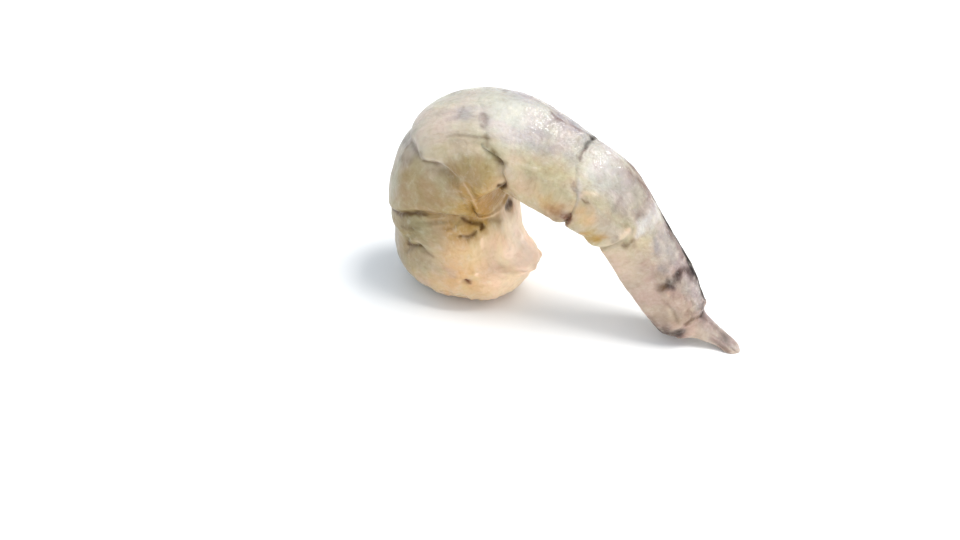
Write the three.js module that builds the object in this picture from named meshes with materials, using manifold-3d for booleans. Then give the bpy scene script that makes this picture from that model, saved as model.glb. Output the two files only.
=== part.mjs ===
// A raw tiger prawn, peeled and with its head off, standing as an arch on its broad head end and the tip of
// its tail. Millimetres, +Z up. +X runs from the head end to the tail, and the back of the prawn is the
// outside of the arch.
//
// It is one piece of flesh. A middle line bends through it in the XZ plane. Every point of the skin has two
// coordinates: how far it is along that line, and its angle around it (0 at the back, +90 on the flank that
// faces -Y, 180 at the belly). The section at each place gives the plain body, and the muscle rings, their
// creases, the side lobes and the leg stubs are then raised from it or sunk into it.
import * as THREE from "three";
import { mergeVertices } from "three/addons/utils/BufferGeometryUtils.js";
import Module from "manifold-3d";

// ---- Driving dimensions: millimetres and degrees --------------------------------------------------------

// One entry for each place along the prawn where its bend or its section changes.
//   length   from the station before, along the middle line
//   heading  of the middle line, above +X
//   back     from the middle line out to the back
//   belly    from the middle line in to the belly
//   side     from the middle line out to each flank
const STATIONS = [
  { name: "broken end", length: 0, heading: 88, back: 9.2, belly: 11.3, side: 9.3 },
  { name: "shoulder flesh", length: 6.1, heading: 91, back: 11.3, belly: 10.8, side: 10.4 },
  { name: "first ring", length: 4.5, heading: 84, back: 11.9, belly: 8.9, side: 10.3 },
  { name: "second ring", length: 5.0, heading: 97, back: 12.7, belly: 7.4, side: 10.2 },
  { name: "top of second ring", length: 7.0, heading: 81, back: 11.5, belly: 6.2, side: 9.9 },
  { name: "third ring", length: 8.0, heading: 28, back: 8.5, belly: 5.8, side: 9.2 },
  { name: "fourth ring", length: 9.5, heading: -14, back: 5.7, belly: 6.9, side: 8.0 },
  { name: "end of fourth ring", length: 8.5, heading: -22, back: 4.8, belly: 8.3, side: 7.0 },
  { name: "fifth ring", length: 6.0, heading: -44, back: 4.6, belly: 7.0, side: 6.3 },
  { name: "front of sixth ring", length: 5.5, heading: -59, back: 4.6, belly: 5.5, side: 5.6 },
  { name: "middle of sixth ring", length: 8.5, heading: -56, back: 5.3, belly: 4.7, side: 4.8 },
  { name: "end of sixth ring", length: 8.5, heading: -47, back: 4.1, belly: 5.1, side: 3.8 },
  { name: "root of tail tip", length: 3.0, heading: -22, back: 2.4, belly: 1.9, side: 2.1 },
  { name: "tail tip", length: 8.0, heading: -29, back: 0.9, belly: 0.7, side: 1.2 },
];
const SECTION_POWER = 2.25; // 2 is an ellipse, and more is boxier

// The broken end is rounded off over this length: more at the back, which doesn't reach the floor.
const HEAD_ROUNDING = { belly: 4.8, back: 8.8, power: 2.2 };
const TAIL_ROUNDING = 2.5;
const SETTLED = 0.6; // how much of the soft broken end is squashed flat where it rests

// The crease in front of each muscle ring. It sweeps towards the tail on the flanks, and comes back at the
// belly.
//   at      along the middle line, at the back
//   belly   further towards the tail at the belly, or towards the head where it is less than 0
//   flank   further towards the tail on the flank, and "turn" is how late on the way round the flank it turns
//   back_depth, flank_depth   of the crease
const MARGINS = [
  { name: "first ring", at: 10.1, belly: 0.5, flank: 1.8, turn: 1, back_depth: 0.02, flank_depth: 0.05 },
  { name: "second ring", at: 16.2, belly: 0.7, flank: 2.7, turn: 1, back_depth: 0.3, flank_depth: 0.6 },
  { name: "third ring", at: 25.0, belly: -5.0, flank: 4.6, turn: 2, back_depth: 0.3, flank_depth: 0.6 },
  { name: "fourth ring", at: 31.8, belly: 0.5, flank: 5.0, turn: 2, back_depth: 0.15, flank_depth: 0.55 },
  { name: "fifth ring", at: 46.0, belly: 3.5, flank: 2.8, turn: 1, back_depth: 0.2, flank_depth: 0.4 },
  { name: "sixth ring", at: 57.2, belly: 1.6, flank: 1.8, turn: 1, back_depth: 0.2, flank_depth: 0.35 },
  { name: "tail fan", at: 76.9, belly: 1.6, flank: 0.5, turn: 1, back_depth: 0.3, flank_depth: 0.3 },
];
const CREASE_FRONT = 1.2; // how gently the skin dips into a crease from the head side
const CREASE_BACK = 0.45; // and how steeply it climbs out on the tail side
const LIP = { share: 0.8, near: 0.5, far: 3.0 }; // the raised edge behind a crease, as a share of its depth

// What each muscle ring adds to the plain body, first ring to sixth.
const RINGS = [
  { swell: 0.15, lobe: 0.15, stub: 0 },
  { swell: 0.2, lobe: 1.0, stub: 0 },
  { swell: 0.3, lobe: 2.2, stub: 0 },
  { swell: 0.35, lobe: 0.75, stub: 0.5 },
  { swell: 0.3, lobe: 0.7, stub: 0.7 },
  { swell: 0.2, lobe: 0.15, stub: 0 },
];
const SWELL_FORWARD = 0.72; // under 1 puts a ring's fullest place nearer its front
const LOBE_ANGLE = 125; // the fold of flesh low on each flank
const LOBE_SPREAD = 27;
const LOBE_FULLNESS = 0.6; // under 1 keeps a lobe plump nearly to both ends of its ring
const STUB = { angle: 126, place: 0.88, long: 1.5, wide: 1.6 }; // what is left where a leg was pulled off
const GROOVE = { depth: 0.9, wide: 1.8, from: 30, to: 76, fade: 5 }; // along the middle of the belly

// Single features: "at" along the middle line, "angle" around it, and how high, long and wide each one is.
const BUMPS = [
  { name: "torn flap", at: 8.2, angle: 180, height: 3.4, long: 2.6, wide: 4.6 },
  { name: "far cheek", at: 6.6, angle: -110, height: 0.5, long: 3.5, wide: 4.0 },
];

// The skin is made of rows of triangles that follow the creases: this many rows from one crease to the next.
const ROWS = [13, 7, 9, 8, 11, 10, 11, 8];
const AROUND = 40; // triangles' edges in one row
const SAME_POINT = 1e-4; // corners of triangles nearer than this are one point
const CROWDING = 0.75; // 0 spaces the rows evenly, and near 1 crowds them at the creases

const FLESH = { color: 0xd8c3a4, roughness: 0.35, metalness: 0 };

// ---- Small helpers --------------------------------------------------------------------------------------

const radians = THREE.MathUtils.degToRad;
const clamp = THREE.MathUtils.clamp;
const sum = (values) => values.reduce((total, value) => total + value, 0);

// 1 at x = 0, falling off smoothly over the width.
const bell = (x, width) => Math.exp(-((x / width) ** 2));

// An angle brought to between -180 and 180 degrees, in radians.
const wrapped = (angle) => Math.atan2(Math.sin(angle), Math.cos(angle));

// A signed power, so that a superellipse keeps its four quarters.
const signedPower = (x, power) => Math.sign(x) * Math.abs(x) ** power;

// A smooth curve through the points that never overshoots between two of them (Fritsch and Carlson's).
function smoothCurve(xs, ys) {
  const gaps = xs.slice(1).map((x, i) => x - xs[i]);
  const slopes = gaps.map((gap, i) => (ys[i + 1] - ys[i]) / gap);
  const tangents = xs.map((x, i) => {
    if (i === 0) return slopes[0];
    if (i === xs.length - 1) return slopes[i - 1];
    if (slopes[i - 1] * slopes[i] <= 0) return 0;
    const before = 2 * gaps[i] + gaps[i - 1];
    const after = gaps[i] + 2 * gaps[i - 1];
    return (before + after) / (before / slopes[i - 1] + after / slopes[i]);
  });
  return (x) => {
    let i = 0;
    while (i < gaps.length - 1 && x >= xs[i + 1]) i += 1;
    const t = (x - xs[i]) / gaps[i];
    const fromStart = ys[i] * (1 + 2 * t) * (1 - t) ** 2 + ys[i + 1] * t * t * (3 - 2 * t);
    return fromStart + gaps[i] * t * (1 - t) * (tangents[i] * (1 - t) - tangents[i + 1] * t);
  };
}

// ---- The plain body -------------------------------------------------------------------------------------

const places = STATIONS.map((_, i) => sum(STATIONS.slice(0, i + 1).map((station) => station.length)));
const LENGTH = places[places.length - 1];
const along = (key) => smoothCurve(places, STATIONS.map((station) => station[key]));
const headingAt = along("heading");
const backAt = along("back");
const bellyAt = along("belly");
const sideAt = along("side");
const meanRadiusAt = (s) => (backAt(s) + bellyAt(s) + sideAt(s)) / 3;

// The middle line, added up in short steps from its start under the head end.
const STEP = 0.05;
const middleLine = [{ x: 0, z: -SETTLED }];
for (let s = STEP / 2; s < LENGTH + STEP; s += STEP) {
  const last = middleLine[middleLine.length - 1];
  const heading = radians(headingAt(Math.min(s, LENGTH)));
  middleLine.push({ x: last.x + STEP * Math.cos(heading), z: last.z + STEP * Math.sin(heading) });
}
function middleAt(s) {
  const i = Math.min(Math.floor(s / STEP), middleLine.length - 2);
  const t = s / STEP - i;
  const [a, b] = [middleLine[i], middleLine[i + 1]];
  return { x: a.x + (b.x - a.x) * t, z: a.z + (b.z - a.z) * t };
}

// How full the section is: 1 along the body, closing to 0 at both ends.
function fullnessAt(s, angle) {
  const towardsBack = (1 + Math.cos(angle)) / 2;
  const rounding = HEAD_ROUNDING.belly + (HEAD_ROUNDING.back - HEAD_ROUNDING.belly) * towardsBack;
  const head = clamp(1 - s / rounding, 0, 1);
  const tail = clamp(1 - (LENGTH - s) / TAIL_ROUNDING, 0, 1);
  const power = HEAD_ROUNDING.power;
  return (1 - head ** power) ** (1 / power) * Math.sqrt(1 - tail * tail);
}

// ---- Rings, creases and single features -----------------------------------------------------------------

// Where a ring's front crease is along the middle line, at an angle around it.
function marginAt(margin, angle) {
  const towardsBelly = ((1 - Math.cos(angle)) / 2) ** 2;
  const towardsFlank = (Math.sin(angle) ** 2) ** margin.turn;
  return margin.at + margin.belly * towardsBelly + margin.flank * towardsFlank;
}

// The dip of a crease and the raised lip behind it. "past" is the distance past the crease, towards the tail.
function creaseRelief(margin, past, angle) {
  const depth = margin.back_depth + (margin.flank_depth - margin.back_depth) * Math.sin(angle) ** 2;
  if (past < 0) return -depth * Math.exp(past / CREASE_FRONT);
  const lip = (1 - bell(past, LIP.near)) * Math.exp(-past / LIP.far);
  return depth * (LIP.share * lip - bell(past, CREASE_BACK));
}

// A ring's swelling, its two side lobes and its two leg stubs. The flesh is alike on both sides of the prawn.
function ringRelief(ring, front, back, s, angle, radius) {
  const t = clamp((s - front) / (back - front), 0, 1);
  let relief = ring.swell * Math.sin(Math.PI * t ** SWELL_FORWARD);
  for (const flank of [1, -1]) {
    const fromLobe = wrapped(angle - flank * radians(LOBE_ANGLE));
    const fromStub = wrapped(angle - flank * radians(STUB.angle)) * radius;
    relief += ring.lobe * bell(fromLobe, radians(LOBE_SPREAD)) * Math.sin(Math.PI * t) ** LOBE_FULLNESS;
    relief += ring.stub * bell((t - STUB.place) * (back - front), STUB.long) * bell(fromStub, STUB.wide);
  }
  return relief;
}

function grooveRelief(s, angle, radius) {
  const fade = clamp((s - GROOVE.from) / GROOVE.fade, 0, 1) * clamp((GROOVE.to - s) / GROOVE.fade, 0, 1);
  return -GROOVE.depth * fade * bell(wrapped(angle - Math.PI) * radius, GROOVE.wide);
}

function bumpRelief(bump, s, angle, radius) {
  const across = wrapped(angle - radians(bump.angle)) * radius;
  return bump.height * bell(s - bump.at, bump.long) * bell(across, bump.wide);
}

// How far the skin stands out from the plain body.
function reliefAt(s, angle) {
  const radius = meanRadiusAt(s);
  const margins = MARGINS.map((margin) => marginAt(margin, angle));
  const creases = MARGINS.map((margin, i) => creaseRelief(margin, s - margins[i], angle));
  const rings = RINGS.map((ring, i) => ringRelief(ring, margins[i], margins[i + 1], s, angle, radius));
  const bumps = BUMPS.map((bump) => bumpRelief(bump, s, angle, radius));
  return sum(creases) + sum(rings) + sum(bumps) + grooveRelief(s, angle, radius);
}

// ---- The skin -------------------------------------------------------------------------------------------

// The point of the skin at a distance along the middle line and an angle around it.
function skinPoint(s, angle) {
  const middle = middleAt(s);
  const heading = radians(headingAt(s));
  const fullness = fullnessAt(s, angle);
  const depth = Math.cos(angle) > 0 ? backAt(s) : bellyAt(s);
  let up = depth * signedPower(Math.cos(angle), 2 / SECTION_POWER) * fullness;
  let out = sideAt(s) * signedPower(Math.sin(angle), 2 / SECTION_POWER) * fullness;
  const reach = Math.hypot(up, out);
  if (reach > 0) {
    const grown = 1 + (reliefAt(s, angle) * fullness) / reach;
    up *= grown;
    out *= grown;
  }
  return new THREE.Vector3(middle.x - Math.sin(heading) * up, -out, middle.z + Math.cos(heading) * up);
}

// Where a row lies: its section between two creases, and how far through that section it is.
const rowPlaces = ROWS.flatMap((count, section) =>
  Array.from({ length: count }, (_, i) => {
    const t = i / count;
    return { section, t: t - (CROWDING * Math.sin(2 * Math.PI * t)) / (2 * Math.PI) };
  }),
);
rowPlaces.push({ section: ROWS.length - 1, t: 1 });

function rowDistance(row, angle) {
  const { section, t } = rowPlaces[row];
  const edges = [0, ...MARGINS.map((margin) => marginAt(margin, angle)), LENGTH];
  return edges[section] + (edges[section + 1] - edges[section]) * t;
}

// A ball's grid has the same layout as the skin: rows from one end to the other, closed at both. Each of its
// points is moved to the skin, by the point's place in the grid.
function skinGeometry() {
  const rows = rowPlaces.length - 1;
  const ball = new THREE.SphereGeometry(1, AROUND, rows);
  const { position, uv } = ball.attributes;
  for (let i = 0; i < position.count; i += 1) {
    const row = Math.round((1 - uv.getY(i)) * rows);
    const column = Math.round(uv.getX(i) * AROUND) % AROUND;
    const angle = (-2 * Math.PI * column) / AROUND; // the grid's columns go round the other way
    const end = row === 0 || row === rows;
    const point = skinPoint(rowDistance(row, end ? 0 : angle), end ? 0 : angle);
    position.setXYZ(i, point.x, point.y, point.z);
  }
  return ball;
}

// ---- Solids ---------------------------------------------------------------------------------------------

const wasm = await Module();
wasm.setup();

// A closed three.js geometry as a solid that can be cut.
function solidOf(geometry) {
  const bare = geometry.clone();
  bare.deleteAttribute("normal");
  bare.deleteAttribute("uv");
  const merged = mergeVertices(bare, SAME_POINT);
  const triVerts = Uint32Array.from(merged.index.array);
  return new wasm.Manifold(
    new wasm.Mesh({ numProp: 3, vertProperties: merged.attributes.position.array, triVerts }),
  );
}

// A solid as a three.js geometry, with a flat normal on each of its facets.
function geometryOf(solid) {
  const mesh = solid.getMesh();
  const shared = new THREE.BufferGeometry();
  shared.setAttribute("position", new THREE.BufferAttribute(mesh.vertProperties, 3));
  shared.setIndex(new THREE.BufferAttribute(mesh.triVerts, 1));
  const geometry = shared.toNonIndexed();
  geometry.computeVertexNormals();
  return geometry;
}

// Soft flesh settles flat where it rests, so everything below the floor is cut away.
function restedOnFloor(solid) {
  const reach = 4 * LENGTH;
  const below = new THREE.BoxGeometry(reach, reach, reach);
  below.translate(0, 0, -reach / 2);
  return solid.subtract(solidOf(below));
}

function makePrawn() {
  const geometry = geometryOf(restedOnFloor(solidOf(skinGeometry())));
  geometry.computeBoundingBox();
  const middle = geometry.boundingBox.getCenter(new THREE.Vector3());
  geometry.translate(-middle.x, -middle.y, -geometry.boundingBox.min.z);
  const prawn = new THREE.Mesh(geometry, new THREE.MeshStandardMaterial(FLESH));
  prawn.name = "prawn";
  return prawn;
}

const part = new THREE.Group();
part.add(makePrawn());

export default part;
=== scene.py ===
# %% [markdown]
# # A raw tiger prawn, peeled
#
# The prawn stands as an arch: its broad, torn head end is on the table, its back is the outside of the
# arch, and the thin tip of its tail touches down again. It is one piece of flesh, so it is one mesh here.
# The steps are: load the imported model, rebuild its skin at a finer step, carve folds and fibres into it,
# paint its pigments, with some painted light and shade, as masks on the mesh, mix them in a wet and
# slightly see-through material, and set up the table, the camera and the light.

# %% Load the imported model
import math

import bpy
import numpy as np
from mathutils import Matrix, Vector, noise


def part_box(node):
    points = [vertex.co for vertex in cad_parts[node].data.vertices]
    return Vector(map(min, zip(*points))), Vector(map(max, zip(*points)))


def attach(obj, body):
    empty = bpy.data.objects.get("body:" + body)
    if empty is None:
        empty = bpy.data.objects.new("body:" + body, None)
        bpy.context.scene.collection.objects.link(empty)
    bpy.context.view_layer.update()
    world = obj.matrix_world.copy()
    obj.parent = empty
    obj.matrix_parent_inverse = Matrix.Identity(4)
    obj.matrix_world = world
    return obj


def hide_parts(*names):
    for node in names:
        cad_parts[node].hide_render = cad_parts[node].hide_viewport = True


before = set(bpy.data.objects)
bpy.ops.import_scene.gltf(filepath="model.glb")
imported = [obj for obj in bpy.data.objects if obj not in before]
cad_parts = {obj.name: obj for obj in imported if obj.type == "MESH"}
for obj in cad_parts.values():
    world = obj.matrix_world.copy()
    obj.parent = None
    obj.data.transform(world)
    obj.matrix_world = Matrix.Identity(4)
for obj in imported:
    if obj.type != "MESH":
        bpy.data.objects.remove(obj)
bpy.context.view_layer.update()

MM = 0.001  # a millimetre in Blender's metres
print("the packed model has", sorted(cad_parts))

# %% [markdown]
# ## The plain body
#
# A prawn's tail is a row of muscle rings on a bent middle line. A sculptor would start from a tube and
# push. Here the tube is worked out instead: every point of the skin has a distance along the middle line
# and an angle around it, so that every fold, stripe and stain can be placed where it is on the animal, and
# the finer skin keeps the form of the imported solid. The angle is 0 at the back, 90 degrees on the flank
# that faces -Y, and 180 at the belly. Lengths are in millimetres until the mesh is made.

# %% The places where the bend or the section changes
STATIONS = [  # length from the one before, heading above +X, reach to the back, the belly and the sides
    ("broken end", 0.0, 88, 9.2, 11.3, 9.3),
    ("shoulder flesh", 6.1, 91, 11.3, 10.8, 10.4),
    ("first ring", 4.5, 84, 11.9, 8.9, 10.3),
    ("second ring", 5.0, 97, 12.7, 7.4, 10.2),
    ("top of second ring", 7.0, 81, 11.5, 6.2, 9.9),
    ("third ring", 8.0, 28, 8.5, 5.8, 9.2),
    ("fourth ring", 9.5, -14, 5.7, 6.9, 8.0),
    ("end of fourth ring", 8.5, -22, 4.8, 8.3, 7.0),
    ("fifth ring", 6.0, -44, 4.6, 7.0, 6.3),
    ("front of sixth ring", 5.5, -59, 4.6, 5.5, 5.6),
    ("middle of sixth ring", 8.5, -56, 5.3, 4.7, 4.8),
    ("end of sixth ring", 8.5, -47, 4.1, 5.1, 3.8),
    ("root of tail tip", 3.0, -22, 2.4, 1.9, 2.1),
    ("tail tip", 8.0, -29, 0.9, 0.7, 1.2),
]
SECTION_POWER = 2.25  # 2 is an ellipse, and more is boxier
HEAD_ROUNDING_BELLY = 4.8  # the broken end is rounded off over this length
HEAD_ROUNDING_BACK = 8.8
HEAD_ROUNDING_POWER = 2.2
TAIL_ROUNDING = 2.5
SETTLED = 0.6  # how much of the soft broken end is squashed flat on the table
print(f"{len(STATIONS)} stations lie along the body")

# %% Curves through the stations
def bell(x, width):
    """1 at x = 0, falling off smoothly over the width."""
    return np.exp(-((x / width) ** 2))


def wrapped(angle):
    """An angle brought to between -180 and 180 degrees, in radians."""
    return np.arctan2(np.sin(angle), np.cos(angle))


def smooth_curve(xs, ys):
    """A curve through the points that never overshoots between two of them (Fritsch and Carlson's)."""
    gaps = np.diff(xs)
    slopes = np.diff(ys) / gaps
    tangents = np.concatenate([slopes[:1], np.zeros(len(xs) - 2), slopes[-1:]])
    for i in range(1, len(xs) - 1):
        if slopes[i - 1] * slopes[i] > 0:
            before = 2 * gaps[i] + gaps[i - 1]
            after = gaps[i] + 2 * gaps[i - 1]
            tangents[i] = (before + after) / (before / slopes[i - 1] + after / slopes[i])

    def curve(x):
        i = np.clip(np.searchsorted(xs, x, side="right") - 1, 0, len(gaps) - 1)
        t = (x - xs[i]) / gaps[i]
        straight = ys[i] * (1 + 2 * t) * (1 - t) ** 2 + ys[i + 1] * t * t * (3 - 2 * t)
        return straight + gaps[i] * t * (1 - t) * (tangents[i] * (1 - t) - tangents[i + 1] * t)

    return curve


places = np.cumsum([station[1] for station in STATIONS])
LENGTH = places[-1]
heading_at, back_at, belly_at, side_at = (
    smooth_curve(places, np.array([station[column] for station in STATIONS], float))
    for column in (2, 3, 4, 5)
)
print(f"the prawn is {LENGTH:.1f} mm long along its middle line")

# %% The middle line, added up in short steps
STEP = 0.05
steps = np.arange(0, LENGTH + STEP, STEP)
turns = np.radians(heading_at(np.minimum(steps[:-1] + STEP / 2, LENGTH)))
middle_x = np.concatenate([[0], np.cumsum(STEP * np.cos(turns))])
middle_z = np.concatenate([[0], np.cumsum(STEP * np.sin(turns))]) - SETTLED
print(f"the middle line rises to {middle_z.max():.1f} mm")

# %% The skin of the plain body
def girth(s):
    """The mean radius of the body, which turns an angle around it into a length."""
    return (back_at(s) + belly_at(s) + side_at(s)) / 3


def fullness(s, angle):
    """1 along the body, closing to 0 at both ends."""
    towards_back = (1 + np.cos(angle)) / 2
    rounding = HEAD_ROUNDING_BELLY + (HEAD_ROUNDING_BACK - HEAD_ROUNDING_BELLY) * towards_back
    head = np.clip(1 - s / rounding, 0, 1)
    tail = np.clip(1 - (LENGTH - s) / TAIL_ROUNDING, 0, 1)
    power = HEAD_ROUNDING_POWER
    return (1 - head**power) ** (1 / power) * np.sqrt(1 - tail * tail)


def signed_power(x, power):
    """A power of the size of x, with the sign of x."""
    return np.sign(x) * np.abs(x) ** power


def skin(s, angle, relief):
    """The points of the skin that stand out by the relief from the plain body."""
    heading = np.radians(heading_at(s))
    full = fullness(s, angle)
    depth = np.where(np.cos(angle) > 0, back_at(s), belly_at(s))
    up = depth * signed_power(np.cos(angle), 2 / SECTION_POWER) * full
    out = side_at(s) * signed_power(np.sin(angle), 2 / SECTION_POWER) * full
    reach = np.maximum(np.hypot(up, out), 1e-9)
    grown = 1 + relief * full / reach
    x = np.interp(s, steps, middle_x[: len(steps)]) - np.sin(heading) * up * grown
    z = np.interp(s, steps, middle_z[: len(steps)]) + np.cos(heading) * up * grown
    return np.stack([x, -out * grown, z], axis=-1)


print(f"half way along, the body is {girth(LENGTH / 2):.1f} mm in mean radius")

# %% [markdown]
# ## Rings, creases, lobes and stubs
#
# Between two muscle rings there is a crease, which sweeps towards the tail on the flanks. Low on each
# flank the rings bulge into a lobe, and at the back of the fourth and fifth lobes a torn leg has left a
# stub. They could be modelled one by one, but as formulas they can be moved and resized by their numbers.
# Each formula says how far the skin stands out, and the relief is their sum.

# %% The margins of the rings
MARGINS = [
    # name, place at the back, how far it moves at the belly and at the flank, how late it moves,
    # and how deep its crease is at the back and at the flank
    ("first ring", 10.1, 0.5, 1.8, 1, 0.02, 0.05),
    ("second ring", 16.2, 0.7, 2.7, 1, 0.3, 0.6),
    ("third ring", 25.0, -5.0, 4.6, 2, 0.3, 0.6),
    ("fourth ring", 31.8, 0.5, 5.0, 2, 0.15, 0.55),
    ("fifth ring", 46.0, 3.5, 2.8, 1, 0.2, 0.4),
    ("sixth ring", 57.2, 1.6, 1.8, 1, 0.2, 0.35),
    ("tail fan", 76.9, 1.6, 0.5, 1, 0.3, 0.3),
]
CREASE_FRONT = 1.2  # a crease deepens over this length in front of its line,
CREASE_BACK = 0.45  # and ends over this length behind it
LIP_SHARE = 0.8  # the height of the lip behind it, as a share of its depth
LIP_NEAR = 0.5  # the lip rises over this length
LIP_FAR = 3.0  # and sinks again over this one


def margin_line(margin, angle):
    """Where a ring's front crease is along the middle line, at an angle around it."""
    _, at, belly, flank, turn, _, _ = margin
    towards_belly = ((1 - np.cos(angle)) / 2) ** 2
    return at + belly * towards_belly + flank * (np.sin(angle) ** 2) ** turn


def crease_relief(margin, past, angle):
    """The dip of a crease and the raised lip behind it; past is the distance past it, towards the tail."""
    back_depth, flank_depth = margin[5:]
    depth = back_depth + (flank_depth - back_depth) * np.sin(angle) ** 2
    lip = (1 - bell(past, LIP_NEAR)) * np.exp(-np.maximum(past, 0) / LIP_FAR)
    behind = LIP_SHARE * lip - bell(past, CREASE_BACK)
    return depth * np.where(past < 0, -np.exp(np.minimum(past, 0) / CREASE_FRONT), behind)


print(f"{len(MARGINS)} margins part the rings")

# %% What each ring adds to the plain body
RINGS = [  # swell, lobe and stub, first ring to sixth
    (0.15, 0.15, 0),
    (0.2, 1.0, 0),
    (0.3, 2.2, 0),
    (0.35, 0.75, 0.5),
    (0.3, 0.7, 0.7),
    (0.2, 0.15, 0),
]
SWELL_FORWARD = 0.72  # below 1, a ring is fullest nearer to its front
LOBE_ANGLE = math.radians(125)
LOBE_SPREAD = math.radians(27)
LOBE_FULLNESS = 0.6  # below 1, a lobe stays full nearly to the ends of its ring
STUB_ANGLE = math.radians(126)
STUB_PLACE = 0.88  # how far back in its ring a stub stands
STUB_LONG = 1.5
STUB_WIDE = 1.6


def ring_relief(ring, front, back, s, angle):
    """A ring's swelling, its two side lobes and its two leg stubs."""
    swell, lobe, stub = ring
    t = np.clip((s - front) / (back - front), 0, 1)
    relief = swell * np.sin(np.pi * t**SWELL_FORWARD)
    for flank in (1, -1):
        from_lobe = wrapped(angle - flank * LOBE_ANGLE)
        from_stub = wrapped(angle - flank * STUB_ANGLE) * girth(s)
        plump = np.maximum(np.sin(np.pi * t), 0) ** LOBE_FULLNESS
        stub_along = bell((t - STUB_PLACE) * (back - front), STUB_LONG)
        relief = relief + lobe * bell(from_lobe, LOBE_SPREAD) * plump
        relief = relief + stub * stub_along * bell(from_stub, STUB_WIDE)
    return relief


print(f"the fullest side lobe stands out {max(ring[1] for ring in RINGS)} mm")

# %% The belly groove and the single features
GROOVE_DEPTH = 0.9
GROOVE_WIDE = 1.8
GROOVE_FROM, GROOVE_TO, GROOVE_FADE = 30, 76, 5
BUMPS = [  # place along, angle around, height, length and width
    ("torn flap", 8.2, 180, 3.4, 2.6, 4.6),
    ("far cheek", 6.6, -110, 0.5, 3.5, 4.0),
]


def bump(s, angle, at, around, height, long, wide):
    """A smooth bump, or a hollow where the height is less than 0."""
    across = wrapped(angle - math.radians(around)) * girth(s)
    return height * bell(s - at, long) * bell(across, wide)


def body_relief(s, angle, lines):
    """How far the skin stands out from the plain body; lines holds each margin at each of the angles."""
    relief = sum(crease_relief(margin, s - line, angle) for margin, line in zip(MARGINS, lines))
    relief = relief + sum(
        ring_relief(ring, front, back, s, angle) for ring, front, back in zip(RINGS, lines, lines[1:])
    )
    relief = relief + sum(bump(s, angle, *feature[1:]) for feature in BUMPS)
    fade = np.clip((s - GROOVE_FROM) / GROOVE_FADE, 0, 1) * np.clip((GROOVE_TO - s) / GROOVE_FADE, 0, 1)
    return relief - GROOVE_DEPTH * fade * bell(wrapped(angle - math.pi) * girth(s), GROOVE_WIDE)


print("single features:", ", ".join(feature[0] for feature in BUMPS))

# %% [markdown]
# ## A grid that follows the creases
#
# A fold is sharp only if rows of faces run along it. In a plain tube with many subdivisions the rows would
# cross the creases and fray them. So the rows are shared out between each crease and the next, crowding
# towards both, and every row bends with them. The real margins are ragged where the shell was pulled off,
# so each margin first strays from its plain sweep and gets an unevenness of its own.

# %% How the margins stray
RAGGED = 0.22  # how uneven a margin is, in millimetres
STRAYS = {  # angle in degrees from the back, and how far the margin strays towards the tail in mm
    "second ring": [(0, 0), (48, -0.6), (80, 0.2), (112, 1.1), (140, 0.3), (160, -0.9), (180, -1.5)],
    "third ring": [
        (0, 0.4), (42, 0), (63, -1.4), (85, -0.2), (118, 3.6), (126, 3.0), (142, -3.0), (180, -3.4),
    ],
    "fourth ring": [
        (0, 0), (28, 1.4), (50, 0.9), (66, -1.2), (76, 0.3), (90, 0), (116, 2.2), (150, 0.5), (180, 0),
    ],
    "fifth ring": [(0, 0), (20, -0.4), (45, 0), (180, 0)],
}
FAR_STRAY = 0.7  # the far flank strays less
AROUND = 222  # points around the body


def ragged_line(angle, seed, waves=range(3, 26), roughness=0.75):
    """An uneven closed line around the body, up to 1 high: slow waves are high and fast ones low."""
    draw = np.random.default_rng(seed)
    line = sum(
        draw.normal() * np.sin(wave * angle + draw.uniform(0, 2 * np.pi)) / wave**roughness
        for wave in waves
    )
    return line / np.abs(line).max()


angles = np.linspace(0, 2 * np.pi, AROUND, endpoint=False)
from_back = np.degrees(np.abs(wrapped(angles)))
lines = []
for number, margin in enumerate(MARGINS):
    line = margin_line(margin, angles) + RAGGED * ragged_line(angles, seed=number)
    if margin[0] in STRAYS:
        degrees, strays = np.array(STRAYS[margin[0]], float).T
        on_flank = np.where(np.sin(angles) < 0, FAR_STRAY, 1)
        line = line + smooth_curve(degrees, strays)(from_back) * on_flank
    lines.append(line)
print(f"{len(STRAYS)} of {len(MARGINS)} margins stray from their sweep")

# %% Rows of points that bend with the margins
ROWS = [70, 38, 50, 46, 62, 56, 62, 46]  # how many there are between one crease and the next
CROWDING = 0.62  # 0 spaces the rows evenly, and near 1 crowds them at the creases
edges = [np.zeros(AROUND), *lines, np.full(AROUND, LENGTH)]
rows = []
for front, back, count in zip(edges, edges[1:], ROWS):
    even = np.arange(count) / count
    t = even - CROWDING * np.sin(2 * np.pi * even) / (2 * np.pi)
    rows.append(front + (back - front) * t[:, None])
S = np.concatenate([*rows, edges[-1][None]])  # each point's place along the body
A = np.broadcast_to(angles, S.shape)  # each point's angle around it
LINES = [np.broadcast_to(line, S.shape) for line in lines]
print(f"the grid has {S.shape[0]} rows of {AROUND} points")

# %% [markdown]
# ## Where the skin stands in the shared frame
#
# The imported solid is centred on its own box, so the plain skin is shifted by the difference between the
# two boxes. One could type the shift in, but measured it stays right when the body changes. It is measured
# before any fine relief is added, so that the relief can't move the prawn.

# %% The shift
plain_lines = [np.broadcast_to(margin_line(margin, angles), S.shape) for margin in MARGINS]
plain = skin(S, A, body_relief(S, A, plain_lines))
low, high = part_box("prawn")
SHIFT = (low.x + high.x) / 2 / MM - (plain[..., 0].min() + plain[..., 0].max()) / 2
print(f"the middle line starts at x = {SHIFT:.2f} mm, y = 0")

# %% [markdown]
# ## Soft creases
#
# On a peeled prawn a crease isn't cut to one depth like a joint in armour. It is deep where two rings
# slide over each other and nearly gone where the membrane still holds them together. In Sculpt Mode one
# would soften it by eye. Here each margin has a profile, the share of its full depth at angles from the
# back to the belly, and the depth wobbles about it, so that no two creases look alike.

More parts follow.
